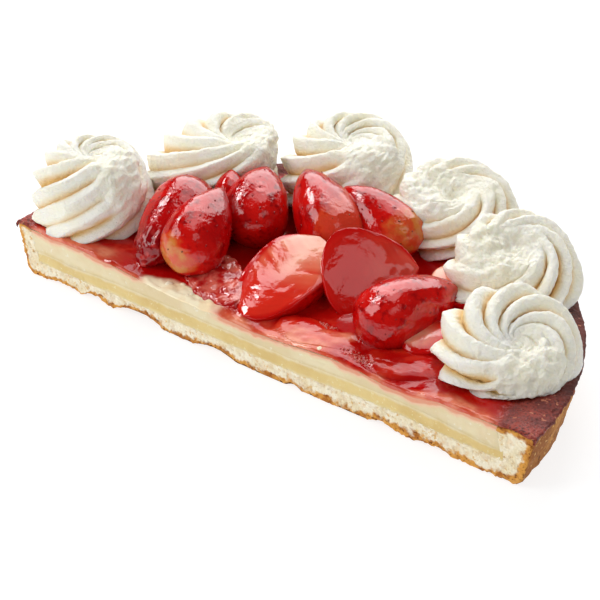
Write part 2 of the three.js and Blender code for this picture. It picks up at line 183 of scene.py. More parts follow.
def closed(name, *sheets):
    """Joins sheets along their common edges into one closed body, faces outwards."""
    select_only(*sheets)
    if len(sheets) > 1:
        bpy.ops.object.join()
    bpy.ops.object.mode_set(mode="EDIT")
    bpy.ops.mesh.select_all(action="SELECT")
    bpy.ops.mesh.remove_doubles(threshold=MERGE_DISTANCE)
    bpy.ops.mesh.normals_make_consistent(inside=False)
    bpy.ops.object.mode_set(mode="OBJECT")
    bpy.ops.object.shade_smooth()
    piece = sheets[0]
    piece.name = piece.data.name = name
    return piece


def keep_corners(piece):
    """Shades the piece smooth, but leaves its true corners sharp."""
    select_only(piece)
    bpy.ops.object.shade_smooth_by_angle(angle=CORNER)


def vectors(piece, kind):
    values = np.empty(len(piece.data.vertices) * 3, np.float32)
    piece.data.vertices.foreach_get(kind, values)
    return values.reshape(-1, 3).astype(float)


def coordinates(piece):
    """The piece's points in the tart's own frame, in millimetres."""
    return vectors(piece, "co") / MM - (0, CUT_Y, 0)


def move_points(piece, points):
    piece.data.vertices.foreach_set("co", to_scene(points).ravel())
    piece.data.update()


def dress(piece, material, slot, *nodes):
    """Gives a finished piece its material and its place on the tart, and hides the imported parts it
    stands for.
    """
    piece.data.materials.clear()
    piece.data.materials.append(material)
    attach(piece, ROOT)
    if nodes:
        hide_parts(*nodes)
    return piece


# ---- the layers' surfaces ----
CREAM_WAVES = [(2.2, 38, 26), (-0.9, 4, 20), (-1.3, 69, 20)]  # at the cut: height, x, reach
WAVES_REACH = 40


def rightness(turn):
    """1 at the right end of the cut and 0 at its left end."""
    return 0.5 + 0.5 * np.cos(turn)


def filling_radius(turn):
    return RIM_RADIUS - lerp(WALL_TOP_LEFT, WALL_TOP_RIGHT, rightness(turn))


def foot_radius(turn):
    return BASE_RADIUS - lerp(WALL_FOOT_LEFT, WALL_FOOT_RIGHT, rightness(turn))


def over(points, surface):
    """The height of a surface over or under each of the points."""
    return surface(points[..., 0], points[..., 1])


def outer_radius(height):
    return lerp(BASE_RADIUS, RIM_RADIUS, height / TART_HEIGHT)


def floor_top(x, y):
    return FLOOR_THICKNESS + FLOOR_RISE * smoothstep(x, 5, 60) + 0.3 * unevenness(x, y, 70, 1)


def custard_top(x, y):
    """The custard thins towards both ends of the cut."""
    thinning = 1.9 * smoothstep(x, 85, 112) + 0.8 * smoothstep(-x, 60, 100)
    return floor_top(x, y) + CUSTARD_DEPTH - thinning


def cream_top(x, y):
    climb = CREAM_RISE * smoothstep(np.hypot(x, y), 38, 96)
    waves = sum(height * bump(x, place, reach) for height, place, reach in CREAM_WAVES)
    return CREAM_TOP + climb + waves * bump(y, 0, WAVES_REACH) + 0.25 * unevenness(x, y, 48, 3)


def glaze_top(x, y):
    radius = np.hypot(x, y)
    inner = filling_radius(np.arctan2(y, x))
    rim = TART_HEIGHT - GLAZE_THICKNESS - GAP
    crown = RIM_CROWN * bump(radius, (inner + RIM_RADIUS) / 2, (RIM_RADIUS - inner) / 2)
    on_rim = smoothstep(radius - inner, -8, 3)
    return lerp(cream_top(x, y), rim - RIM_CROWN + crown, on_rim) + GAP + GLAZE_THICKNESS


# ---- strawberries and rosettes: the places of the solids, and sizes within 1 mm ----
BERRIES = [
    dict(stem=(-2, 47, 39), tip=(-7, 3, 22), width=36, face=(-0.05, -0.42, 0.9), cut=0,
         point=0.5, ripple=0.16),
    dict(stem=(42, 14, 27), tip=(58, 57, 32), width=29, face=(0, 0, -1), cut=9),
    dict(stem=(13, 29, 35), tip=(38, 60, 32.5), width=38, face=(0.59, -0.45, 0.66), cut=0,
         flush=0.8, ripple=0.4),
    dict(stem=(-43, 7, 26), tip=(-50, 44, 47), width=28, face=(0, 0.4, -1), cut=9,
         point=0.95, stub=0.72, pale=(0.2, 4.2), blush=0.35),
    dict(stem=(4, 57, 27), tip=(-31, 75, 48), width=28, face=(-0.4, 0.5, -1), cut=7,
         pale=(0.56, 5.7), blush=1),
    dict(stem=(-34, 42, 26), tip=(-48, 70, 46), width=28, face=(0, 0.5, -1), cut=8),
    dict(stem=(26, 77, 29), tip=(-13, 78, 44), width=23, face=(0, 0.6, -1), cut=6,
         pale=(0.36, 5.2), blush=0.4),
    dict(stem=(-67, 50, 40), tip=(-62, 5, 23), width=28, face=(0.5, 0.3, -1), cut=8, crumple=0.66),
    dict(stem=(-50, 48, 28), tip=(-57, 58, 47), width=17, face=(0, 1, 0), cut=5),
    dict(stem=(42, 66, 27), tip=(77, 61, 31), width=27, face=(0, -0.2, 1), cut=4),
    dict(stem=(55, 22, 23), tip=(75, 40, 26), width=19, face=(0, -0.2, 1), cut=4),
    dict(stem=(49, 9, 21), tip=(83, 19, 22), width=19, face=(0, 0, 1), cut=2.4),
    dict(stem=(-44, 25, 24), tip=(-12, 5, 21), width=23, face=(0, -0.2, 1), cut=3,
         crumple=0.05, blush=1),
    dict(stem=(5, 12, 19.5), tip=(44, 10, 21), width=17, face=(0, 0, 1), cut=2),
]
BERRY_SEED = 21
SUNKEN_SLICES = (12, 14)
ROSETTES = [
    dict(angle=19.2, out=-1.5, lift=-1, radius=28.4, height=21, turn=0.2, lean=0.42, depth=0.86,
         middle=(6, -1), torn=(-0.55, 0.62, 0.72), wind=1.5),
    dict(angle=47.4, out=1.6, lift=1, radius=27.4, height=22, turn=0.6, lean=0.36, depth=0.88,
         middle=(0, 3), torn=(-2.2, 0.34, 0.75), wind=1.7, calm=0.25),
    dict(angle=75.6, out=2.6, lift=0, radius=27.8, height=25, turn=0.1, lean=0.28, depth=0.88,
         middle=(1, -1), torn=(-2.4, 0.36, 0.75), wind=1.8, calm=0.25),
    dict(angle=105.6, out=0.0, lift=0, radius=29.8, height=31, turn=0.4, lean=0.1, depth=0.88,
         middle=(-2, 8), torn=(-0.4, 0.6, 0.65), wind=2.1, soft=0.9),
    dict(angle=139.3, out=-0.4, lift=0, radius=29.6, height=31.5, turn=0.5, lean=0.06, depth=0.88,
         middle=(8, 11), torn=(0.2, 0.6, 0.65), wind=2.0, soft=0.85),
    dict(angle=168.8, out=3.4, lift=0, radius=26, height=31.5, turn=0.3, lean=0.0, depth=0.85,
         middle=(-6, 9), torn=(-0.1, 0.7, 0.6), wind=1.8, soft=0.85),
]
ROSETTE_SEED = 11
ROSETTE_CIRCLE = 102.5
SKIRT_LEVEL = 23.2
for shapes, first_seed in ((BERRIES, BERRY_SEED), (ROSETTES, ROSETTE_SEED)):
    for i, shape in enumerate(shapes):
        shape["seed"] = first_seed + i


class Draw:
    """The same seeded draws as the solids make."""

    def __init__(self, seed):
        self.state = seed

    def __call__(self):
        self.state = (self.state * 1664525 + 1013904223) % 4294967296
        return self.state / 4294967296


def smooth_path(points, count):
    """count places on a smooth curve through the points, and how far along each one is."""
    points = np.asarray(points, float)
    padded = np.vstack([2 * points[0] - points[1], points, 2 * points[-1] - points[-2]])
    place = np.linspace(0, len(points) - 1, count)
    first = np.minimum(place.astype(int), len(points) - 2)
    t = (place - first)[:, None]
    a, b, c, d = (padded[first + i] for i in range(4))
    curve = 2 * b + (c - a) * t + (2 * a - 5 * b + 4 * c - d) * t**2
    return 0.5 * (curve + (3 * b - a - 3 * c + d) * t**3), place / (len(points) - 1)


# ---- piped rosettes ----
RIDGES = 8
RIDGE_POINTS = 30
ROSETTE_ROWS = 130
GROOVE_DEPTH = 0.22
ROSETTE_PROFILE = [
    (0.78, -0.3),
    (0.9, -0.05),
    (0.99, 0.2),
    (1.0, 0.42),
    (0.95, 0.64),
    (0.83, 0.84),
    (0.66, 0.97),
    (0.46, 1.0),
    (0.27, 0.93),
    (0.12, 0.84),
    (0.0, 0.8),
]
SLANT_INSIDE = 1.2  # how far a ridge goes round for each step inwards, near the middle
STEEP_SIDE = 0.7  # below 1, a ridge is steeper on the side that faces outwards
LEAN_TO = math.radians(-52)  # the rosettes are lower towards this side
# The cream's grain: height everywhere, more height where it is torn, size of lumps, step of seed.
CREAM_GRAIN = [(0.24, 0.14, 1.1, 0), (0.15, 0.4, 1.7, 3), (0.2, 0.9, 3.4, 1), (0.35, 0.7, 8, 2)]


def ridge_draws(rosette):
    """How deep each groove is, how far each ridge stands out and where each groove ends."""
    draw = Draw(rosette["seed"])
    swells = np.array([0.7 + 0.6 * draw() for _ in range(RIDGES)])
    reaches = np.array([0.96 + 0.11 * draw() for _ in range(RIDGES)])
    ends = np.array([0.04 + 0.3 * (i % 2) * draw() for i in range(RIDGES)])
    return swells, reaches, ends + rosette.get("calm", 0)


def ridge_twist(path, size, wind):
    """How far round the ridges have gone at each row of the profile."""
    step = np.linalg.norm(np.diff(path * size, axis=0), axis=1)
    between = np.maximum(0.5 * (path[1:, 0] + path[:-1, 0]), 0.12)
    slant = lerp(SLANT_INSIDE, wind, smoothstep(between, 0.45, 0.95))
    return np.concatenate([[0], np.cumsum(slant * step / (between * size[0]))])[:, None]


def torn_mask(rosette, x, y, lift):
    """1 on the side where the cream is torn and its ridges are lost."""
    direction, off, spread = rosette["torn"]
    away = np.hypot(x - off * math.cos(direction), y - off * math.sin(direction)) / spread
    return (1 - smoothstep(away, 0.45, 1)) * smoothstep(lift, 0.1, 0.6)


def rosette_points(rosette):
    """The rosette's rows and columns of points, how deep its grooves are at each (for painted shade)
    and how torn it is.
    """
    swells, reaches, ends = ridge_draws(rosette)
    radius, height = size = rosette["radius"], rosette["height"]
    path, level = smooth_path(ROSETTE_PROFILE, ROSETTE_ROWS)
    share, lift, level = path[:, :1], path[:, 1:], level[:, None]
    along = np.gradient(path * size, axis=0)
    along /= np.linalg.norm(along, axis=1, keepdims=True)
    columns = RIDGES * RIDGE_POINTS
    column = np.arange(columns + 1)[None, :] / columns
    ridge = np.floor(column * RIDGES).astype(int) % RIDGES
    groove_number = np.floor(column * RIDGES + 0.5).astype(int) % RIDGES
    sharpness = lerp(2.2, 1.15, smoothstep(share, 0.5, 0.95))
    crest = 1 - np.abs(2 * ((column * RIDGES) % 1) ** STEEP_SIDE - 1) ** sharpness
    angle = rosette["turn"] + 2 * np.pi * column + ridge_twist(path, size, rosette["wind"])
    torn = torn_mask(rosette, share * np.cos(angle), share * np.sin(angle), lift)
    ending = smoothstep(share, ends[groove_number], ends[groove_number] + 0.22)
    shallow = smoothstep(share, 0.1, 0.6)
    deep = GROOVE_DEPTH * radius * lerp(0.45, 1, shallow) * ending * rosette.get("soft", 1)
    groove = deep * (1 - 0.95 * torn) * swells[groove_number] * (1 - crest)
    reach = lerp(1, reaches[ridge], bump(lift, 0.3, 0.5) * crest)
    r = share * radius * reach - groove * along[:, 1:]
    z = lift * height + groove * along[:, :1]
    upper = smoothstep(level, 0.25, 0.8)
    x = r * np.cos(angle) + rosette["middle"][0] * upper
    y = r * np.sin(angle) + rosette["middle"][1] * upper
    way_x, way_y = around(1, LEAN_TO)
    towards = x * way_x + y * way_y
    flatter = (1 - rosette["depth"]) * towards
    z = z - rosette["lean"] * towards * smoothstep(level, 0.1, 0.5)
    points = np.stack([x - flatter * way_x, y - flatter * way_y, z], -1)
    foot = np.zeros((1, columns + 1, 3))
    foot[..., 2] = ROSETTE_PROFILE[0][1] * height
    middle = around(ROSETTE_CIRCLE + rosette["out"], math.radians(rosette["angle"]))
    points = np.concatenate([foot, points]) + (*middle, SKIRT_LEVEL + rosette["lift"])
    # The grooves' depth, as a mask for the warm painted shade that the material puts in them.
    groove_shade = groove / (GROOVE_DEPTH * radius * lerp(0.6, 1, shallow))
    return points, np.concatenate([foot[..., 0], groove_shade]), np.concatenate([foot[..., 0], torn])


def rosette_piece(number, rosette, material):
    points, groove, torn = rosette_points(rosette)
    name = f"swirl_{number}"
    # The groove attribute carries the painted shade of the grooves to the material.
    piece = closed(name, sheet(name, points, groove=groove, torn=torn))
    co, out = coordinates(piece), vectors(piece, "normal")
    rough = np.array([v.value for v in piece.data.attributes["torn"].data])
    layers = []
    for height, torn_height, size, step in CREAM_GRAIN:
        layers.append((height + torn_height * rough, size, rosette["seed"] + step))
    co += out * relief(co, *layers)[:, None]
    co[:, 2] = soft_max(co[:, 2], over(co, glaze_top) - 0.5, 0.4)
    co[:, 1] = soft_max(co[:, 1], CUT_CLEARANCE, 0.3)
    move_points(piece, co)
    return dress(piece, material, "whipped_cream", f"rosette_{number}")


# ---- strawberries ----
WIDEST = 0.36  # share of the length from the stem end
BERRY_ROWS = 100
BERRY_COLUMNS = 112
BERRY_LEAN = 0.08
BERRY_LOBE = 0.04
SEED_SPACING = 6.2
SEED_PIT = (0.08, 1.1)  # depth and radius
FACE_DOME = 1.3
FACE_ROUNDING = 1.8
UNCRUMPLED = 2  # past the end of the strawberry
FAR = 99.0


def berry_axis(berry):
    """The stem end, the length, and the directions along, across and out of the cut face."""
    stem, tip = np.array(berry["stem"], float), np.array(berry["tip"], float)
    length = np.linalg.norm(tip - stem)
    along = (tip - stem) / length
    out = np.array(berry["face"], float)
    out -= along * out.dot(along)
    out /= np.linalg.norm(out)
    return stem, length, along, np.cross(out, along), out


def off_axis(points, stem, along):
    """Directions that point straight out of a strawberry's axis at these points."""
    out = points - (stem + along * ((points - stem) @ along)[..., None])
    return out / np.maximum(np.linalg.norm(out, axis=-1, keepdims=True), 1e-6)


def berry_skin(berry, share, angle):
    """Points on the whole strawberry at these shares of its length and angles."""
    stem, length, along, side, out = berry_axis(berry)
    low = 1 - np.clip((WIDEST - share) / WIDEST, 0, 1) ** 2.6
    high = 1 - np.clip((share - WIDEST) / (1 - WIDEST), 0, 1) ** 1.9
    blunt, point = berry.get("stub", 0.5), berry.get("point", 0.72)
    half_width = np.where(share < WIDEST, low**blunt, high**point)
    bow = np.sin(np.pi * share)
    lobed = 1 + BERRY_LOBE * np.cos(3 * angle + berry["seed"]) * bow
    radius = 0.5 * berry["width"] * half_width * lobed
    lean = BERRY_LEAN * (Draw(berry["seed"])() - 0.5) * length * bow
    place = stem + along * (share * length)[..., None]
    place = place + side * (radius * np.cos(angle) + lean)[..., None]
    return place + out * (radius * np.sin(angle))[..., None]


def seed_places(berry):
    """Shares and angles of the seeds, in rings that are half a step out of line."""
    rings = int(berry_axis(berry)[1] / (0.8 * SEED_SPACING))
    shares, angles = [], []
    for ring in range(1, rings):
        share = ring / rings
        width = np.ptp(berry_skin(berry, np.full(24, share), np.linspace(0, 6.1, 24)), axis=0)
        count = max(3, int(np.pi * 0.5 * np.linalg.norm(width) * 1.15 / SEED_SPACING))
        for i in range(count):
            shares.append(share + 0.012 * math.sin(7 * i + ring))
            angles.append(2 * np.pi * (i + 0.5 * (ring % 2)) / count + 0.1 * math.sin(5 * i))
    return np.array(shares), np.array(angles)


def ripeness(berry, share, angle):
    """1 where a strawberry is red, 0 at the pale side of its stem end."""
    if "pale" not in berry:
        return np.ones_like(share)
    length, side = berry["pale"]
    reach = length * (0.25 + 0.75 * np.cos(angle - side) + 0.15 * np.cos(3 * angle))
    return smoothstep(share - reach, -0.5 * length - 0.02, 0.25 * length + 0.03)


def half_width_at(berry, share, height):
    """Half the width of the cut face, at the height of the cut over the axis."""
    ends = [berry_skin(berry, share, np.full_like(share, angle)) for angle in (0, np.pi)]
    half_width = 0.5 * np.linalg.norm(ends[0] - ends[1], axis=-1)
    return np.sqrt(np.maximum(half_width**2 - height**2, 0.01))


def berry_piece(number, berry, material):
    share = (0.5 - 0.5 * np.cos(np.pi * np.linspace(0, 1, BERRY_ROWS)))[:, None]
    angle = (2 * np.pi * np.arange(BERRY_COLUMNS + 1) / BERRY_COLUMNS)[None, :]
    share, angle = np.broadcast_arrays(share, angle)
    points = berry_skin(berry, share, angle)
    stem, length, along, side, out = berry_axis(berry)
    pit = np.full(share.shape, FAR)
    for seed in berry_skin(berry, *seed_places(berry)):
        pit = np.minimum(pit, np.linalg.norm(points - seed, axis=-1))
    start = berry.get("crumple", UNCRUMPLED)
    crumple = smoothstep(share, start, start + 0.15)
    creases = [(1.1, 5, number + 70), (0.8, 2.4, number + 71), (0.3, 1.2, number + 72)]
    rough = crumple * relief(points, *creases)
    dents = relief(points, (0.45, 9, number), (0.14, 3.2, number + 50))
    dents += rough - SEED_PIT[0] * np.exp(-((pit / SEED_PIT[1]) ** 2))
    ends = smoothstep(np.minimum(share, 1 - share), 0.0, 0.06)
    points = points + off_axis(points, stem, along) * (dents * ends)[..., None]

    height, across = (points - stem) @ out, (points - stem) @ side
    border = half_width_at(berry, share, berry["cut"]) - np.abs(across)
    fan_out = (share * length + 0.45 * np.abs(across)) / 1.5
    vein = lumps(np.stack([fan_out, across / 11, 0 * share], -1), 1, number + 30)
    core = np.exp(-((across / (0.12 * berry["width"])) ** 2)) * bump(share, 0.42, 0.5)
    dome = FACE_DOME * np.minimum(np.abs(across) / (border + np.abs(across)), 1) ** 2
    ripple = berry.get("ripple", 0) * smoothstep(share, 0.35, 0.6)
    waves = relief(points, (0.14, 8, number + 9), (0.03, 2.4, number + 4), (ripple, 5, number + 11))
    face = berry["cut"] + waves + 0.03 * vein - dome + 0.6 * rough
    cut = soft_min(height, face, FACE_ROUNDING)
    points = points + out * (cut - height)[..., None]
    points[..., 2] = soft_max(points[..., 2], over(points, cream_top) + 0.4, 0.4)
    points[..., 1] = soft_max(points[..., 1], 0.15, 0.2)
    marks = dict(
        face=smoothstep(height - cut, 0.3, 1.2),
        border=np.clip(border, 0, 20),
        vein=0.5 + 0.5 * vein,
        core=core,
        along=1 - share if "flush" in berry else share,
        flush=berry.get("flush", 0),
        blush=berry.get("blush", 0),
        ripe=ripeness(berry, share, angle),
        # Distance to the nearest seed, for the dimples and for the painted shade in them.
        pit=pit,
        crumple=crumple,
    )
    name = f"berry_{number}"
    piece = closed(name, sheet(name, points, **marks))
    return dress(piece, material, "strawberry", f"strawberry_{number}")


# ---- the baked case ----
THICKNESS_STEPS = 12
CRUST_TURNS = 260
WALL_START = 2.2  # the wall stands on a rounded foot of this height
CHIPS = [  # broken places along the bottom of the cut: x, width, height
    (-103, 17, 1.4),
    (-86, 14, 2.3),
    (-61, 26, 4.2),
    (-20, 21, 2.4),
    (20.5, 6, 1.6),
    (63, 13, 2.1),
    (86, 15, 1.3),
]
CHIP_REACH = 5


def bottom_lift(x, y):
    """How far the broken bottom edge of the case stands off the table, at the cut."""
    lift = np.zeros(np.broadcast(x, y).shape)
    for place, width, height in CHIPS:
        lift = np.maximum(lift, height * np.sqrt(bump(x, place, 0.55 * width)))
    ragged = relief(flat(x, y), (0.3, 3.5, 3), (0.25, 1.4, 8))
    return (lift + np.maximum(ragged, 0)) * bump(y, 0, CHIP_REACH)


def crust_section(turn, wall_steps=40, base_steps=110):
    """Outer and inner line of the case's section at this turn, from the axis to the rim."""
    inner, foot = float(filling_radius(turn)), float(foot_radius(turn))
    wall = np.linspace(0, 1, wall_steps)
    base = np.linspace(0, 1, base_steps) ** 0.9
    outer_wall = outer_radius(WALL_START + wall * (TART_HEIGHT - 3.6)) - 0.6
    outer_r = np.concatenate([(BASE_RADIUS - 2.5) * base, outer_wall])
    outer_z = np.concatenate([np.zeros(base_steps), WALL_START + wall * (TART_HEIGHT - 3.9)])
    outer_z = np.maximum(outer_z, bottom_lift(*around(outer_r, turn)) * (outer_z < 1))
    inner_r = np.concatenate([(foot - 1.5) * base, lerp(foot, inner, wall)])
    floor = floor_top(*around(inner_r, turn))[:base_steps]
    low = floor_top(*around(foot, turn)) + 1.2
    top = float(glaze_top(*around(inner, turn))) - GLAZE_THICKNESS - GAP
    inner_z = np.concatenate([floor, lerp(low, top, wall)])
    return np.stack([outer_r, outer_z], -1), np.stack([inner_r, inner_z], -1)


def section_face(outer, inner, steps):
    """Rows of points from the section's outer line to its inner one, under the crowned rim."""
    share = np.linspace(0, 1, steps)[:, None, None]
    face = lerp(outer, inner, share)
    face[:, -1, 1] += RIM_CROWN * np.sin(np.pi * share[:, 0, 0])
    return face


def crust_ring(turn):
    """The section's whole outline, from the axis round the rim and back."""
    outer, inner = crust_section(turn)
    rim = section_face(outer, inner, THICKNESS_STEPS)[1:-1, -1]
    return np.concatenate([outer, rim, inner[::-1]])


def turned(section, turn):
    """A section of distances and heights, as points at this turn."""
    sin = 0.0 if turn in (0.0, math.pi) else math.sin(turn)
    radius, height = section[..., 0], section[..., 1]
    return np.stack([radius * math.cos(turn), radius * sin, height], -1)


def crust_piece(material):
    turns = [math.pi * i / CRUST_TURNS for i in range(CRUST_TURNS + 1)]
    sheets = [sheet("case_body", np.array([turned(crust_ring(turn), turn) for turn in turns]))]
    for turn in (turns[0], turns[-1]):
        face = section_face(*crust_section(turn), THICKNESS_STEPS)
        sheets.append(sheet("case_end", turned(face, turn)))
    piece = closed("baked_case", *sheets)
    co, out = coordinates(piece), vectors(piece, "normal")
    on_cut = co[:, 1] < ON_CUT
    outside = smoothstep(np.hypot(co[:, 0], co[:, 1]), 112, 122) * (~on_cut)
    crag = relief(co, (0.5, 9, 1), (0.3, 3.4, 2), (0.16, 1.3, 3))
    rim = smoothstep(co[:, 2], 18, 23)
    co += out * (crag * outside * (1 - 0.5 * rim))[:, None]
    co[:, 1] += np.where(on_cut, CRUMB_DEPTH, 0)
    co[:, 2] = np.maximum(co[:, 2], 0)
    move_points(piece, co)
    return dress(piece, material, "shortcrust", "crust")


# ---- the crumb that the knife laid open ----
CRUMB_DEPTH = 0.9
CRUMB_WALL_STEPS = 70
CRUMB_BASE_STEPS = 330
CRUMB_THICKNESS_STEPS = 34


def browning(face, to_skin, place):
    """1 in the baked skin of the cut case, 0 in its pale crumb."""
    uneven = relief(place, (1.6, 12, 68), (1.1, 3, 63), (0.7, 1.1, 69))
    to_rim = np.linalg.norm(face - face[:, -1:], axis=-1)
    browned = lerp(0.6, 1, smoothstep(place[..., 0], -40, 100))
    return 1 - smoothstep(np.minimum(to_skin / browned, 0.9 + 1.5 * to_rim) + uneven, 1.4, 5.6)


def crumb_piece(number, turn, material):
    """A porous slab over the case's cut face, on one side of the middle."""
    outer, inner = crust_section(turn, CRUMB_WALL_STEPS, CRUMB_BASE_STEPS)
    ragged = np.maximum(relief(turned(outer, turn), (0.6, 3.1, 61), (0.5, 1.2, 62)) + 0.2, 0)
    outer = outer + ragged[:, None] * np.where(outer[:, 1:] < 3, (0, 1), (-1, 0))
    face = section_face(outer, inner, CRUMB_THICKNESS_STEPS)
    points = turned(face, turn)
    place = points * (1, 0, 1)
    to_skin = np.linalg.norm(face - outer[None], axis=-1)
    skin = browning(face, to_skin, place)
    edge = 1 - smoothstep(to_skin, 0, 1.2)
    holes = smoothstep(relief(place, (1, 1.2, 64), (0.5, 0.7, 65)), 0.3, 0.85)
    wide = smoothstep(lumps(place * (0.7, 1, 1), 2.4, 66), 0.5, 0.9)
    deep = 0.7 * CRUMB_DEPTH * np.maximum(0.8 * holes, 0.6 * wide)
    points[..., 1] = deep - 0.1 - 0.25 * lumps(place, 0.9, 67) + 0.25 * edge**2
    back = points.copy()
    back[..., 1] = CRUMB_DEPTH + 0.25
    sheets = [
        # This mask marks the crumb's holes, where the material paints shade into them.
        sheet("crumb", points, skin=skin, hole=np.maximum(holes, wide)),
        sheet("crumb_back", back, skin=skin, hole=0),
    ]
    for line in (np.s_[0, :], np.s_[-1, :], np.s_[:, 0], np.s_[:, -1]):
        side = np.stack([points[line], back[line]])
        sheets.append(sheet("crumb_edge", side, skin=skin[line], hole=0))
    return dress(closed(f"open_crumb_{number}", *sheets), material, "shortcrust")


# ---- the two layers ----
LAYER_COLUMNS = 500
FACE_STEPS = 12
DEPTH_STEPS = 40
LAYER_OVERLAP = 0.5  # how far a layer reaches up into what lies on it
LAYERS = [  # widening: the edge's place between the wall's foot and top, below and above
    dict(name="custard_layer", node="custard", lower=floor_top, upper=custard_top, sunk=0.3,
         widening=(0, 0), tucked=0.6, proud=0.1),
    dict(name="cream_layer", node="cream_filling", lower=custard_top, upper=cream_top, sunk=0.1,
         widening=(0.4, 1), tucked=0.5, proud=0.13),
]


def layer_outline():
    """Shares of a layer's height and depth, once round it from the foot of its cut face."""
    up = np.linspace(0, 1, FACE_STEPS)
    back = np.linspace(0, 1, DEPTH_STEPS)[1:-1] ** 2
    outline = [(share, 0) for share in up] + [(1, share) for share in back]
    outline += [(share, 1) for share in up[::-1]] + [(0, share) for share in back[::-1]]
    return outline + outline[:1]


def layer_piece(layer, material):
    """A half-round slab between two surfaces, with its cut side in front."""
    turns = np.linspace(np.pi, 0, LAYER_COLUMNS)
    sin = np.sin(turns)
    sin[[0, -1]] = 0
    upper = layer["upper"]
    rows, heights = [], []
    for height, depth in layer_outline():
        widened = lerp(*layer["widening"], height)
        edge = lerp(foot_radius(turns), filling_radius(turns), widened) + layer["tucked"]
        x, y = edge * np.cos(turns), edge * sin * depth
        z = lerp(layer["lower"](x, y) - layer["sunk"], upper(x, y) + LAYER_OVERLAP, height)
        rows.append(np.stack([x, y, z], -1))
        heights.append(np.full_like(x, height))
    piece = closed(layer["name"], sheet("layer", np.array(rows), up=np.array(heights)))
    co = coordinates(piece)
    face = co[:, 1] < ON_CUT
    run = drip(co[:, 0])
    below = over(co, upper) - co[:, 2] - run
    wavy = 0.12 * lumps(co * (0.4, 1, 1), 2.5, 7) + 0.06 * lumps(co, 0.9, 8)
    pits = smoothstep(lumps(co * (0.6, 1, 1), 2.0, 10), 0.6, 0.95) * smoothstep(below, 0.5, 2.5)
    co[:, 1] += np.where(face, wavy + 0.4 * pits - layer["proud"], 0)
    wobble = 0.35 * lumps(co * (1, 1, 0), 12, 9) + 0.15 * lumps(co, 4, 13)
    to_top = over(co, upper) + LAYER_OVERLAP - co[:, 2]
    co[:, 2] += np.where(face, wobble * smoothstep(to_top, 0, 1.5), 0)
    below = over(co, upper) - co[:, 2] - run
    stain = 1 - smoothstep(below + relief(co, (0.7, 2.2, 11), (0.5, 5, 12)), -0.6, 2.2)
    attribute(piece, "stain", stain * face * (1 - 0.9 * bare_cream(co[:, 0], 0 * co[:, 0])))
    move_points(piece, co)
    keep_corners(piece)
    return dress(piece, material, layer["node"], layer["node"])


# ---- the glaze ----
GLAZE_TURNS = 400
GLAZE_EDGE = 129.4
GLAZE_THIN = 0.9
GLAZE_LIP = [(0.35, -0.5), (0.3, -1.3), (-0.4, -1.9)]  # over the rim: outwards, upwards
RIM_ROWS_START = 105  # the rows are closer together from here to the edge
FRONT_STEPS = 20
EDGE_DROP = 0.8  # how far the glaze is rounded down at the cut
EDGE_SINK = 0.85  # the glaze stays above this depth under its even top
MENISCUS_RISE = 1.5
MENISCUS_REACH = 1.5
BARE_RUN = 1.5  # how far the glaze reaches down the cut where the cream shows bare
THIN_GLAZE = [(20, 3, 26, 12), (-92, 2, 30, 10), (96, 0, 26, 9), (32, 12, 12, 8), (-12, 0, 16, 6)]
DEEP_GLAZE = [(47, 8, 11), (70, 13, 12), (27, 20, 9), (-60, 8, 8), (-25, 12, 14)]


def fruit_tree(pieces):
    """All these pieces in one search tree, in metres."""
    points, faces = [], []
    for piece in pieces:
        start = len(points)
        points.extend(vertex.co.copy() for vertex in piece.data.vertices)
        faces.extend([start + i for i in face.vertices] for face in piece.data.polygons)
    return BVHTree.FromPolygons(points, faces)


def distance_to(tree, points):
    """Distance in millimetres from each point to the nearest fruit, FAR if there is none near."""
    found = []
    for point in to_scene(points):
        hit = tree.find_nearest(Vector(point), 0.02)[3]
        found.append(FAR if hit is None else hit / MM)
    return np.array(found)


def cover(tree, x, y):
    """Height of the tree's pieces at each place, far below the tart where there is none."""
    found = []
    down = Vector((0, 0, -1))
    for point in to_scene(np.stack([x, y, np.full_like(x, 60)], -1).reshape(-1, 3)):
        hit = tree.ray_cast(Vector(point), down)[0]
        found.append(-FAR if hit is None else hit[2] / MM)
    return np.array(found).reshape(x.shape)


def surface_of(piece):
    """A function for the height of a piece's upper side at a place."""
    tree = fruit_tree([piece])
    return lambda x, y: float(cover(tree, np.array([x]), np.array([y]))[0])


def glaze_height(x, y, fruit, sunken):
    """Top of the glaze: waves, drawn up where it meets fruit and laid over the sunken slices."""
    ground = flat(x, y)
    z = glaze_top(x, y) + relief(ground, (0.35, 11, 21), (0.22, 5, 22), (0.08, 2.2, 28))
    points = np.stack([x, y, z], -1)
    near = distance_to(fruit, points.reshape(-1, 3)).reshape(z.shape)
    past_filling = np.hypot(x, y) - filling_radius(np.arctan2(y, x))
    on_rim = smoothstep(past_filling + 2 * lumps(ground, 6, 49), -5, 3)
    z = z + MENISCUS_RISE * np.exp(-near / MENISCUS_REACH) * (1 - on_rim)
    z = z + on_rim * relief(points, (0.3, 2.4, 23), (0.3, 1.2, 24))
    slices = cover(sunken, x, y)
    under = smoothstep(slices - z, -0.6, 0.2) * smoothstep(lumps(points, 6, 46), -0.5, 0.6)
    z = soft_max(z, slices + 0.25 + relief(points, (0.25, 3, 25), (0.1, 1.3, 26)), 1.0)
    z = z + 0.3 * lumps(points, 3.2, 27) * (1 - smoothstep(y, 2, 8)) * (1 - on_rim)
    rounded = np.clip(1 - y / (1.7 + 0.9 * lumps(points, 7, 29)), 0, 1) ** 2
    return soft_max(z - EDGE_DROP * rounded, glaze_top(x, y) - EDGE_SINK, 0.2), on_rim, under


def drip(x):
    """How far the glaze has run down the cut face."""
    runs = 1.0 + relief(flat(x, 0 * x), (1.1, 16, 31), (0.7, 6, 32), (0.3, 2, 33))
    return np.clip(runs, 0.3, 2.8) * (1 - 0.6 * smoothstep(np.abs(x), 108, 118))


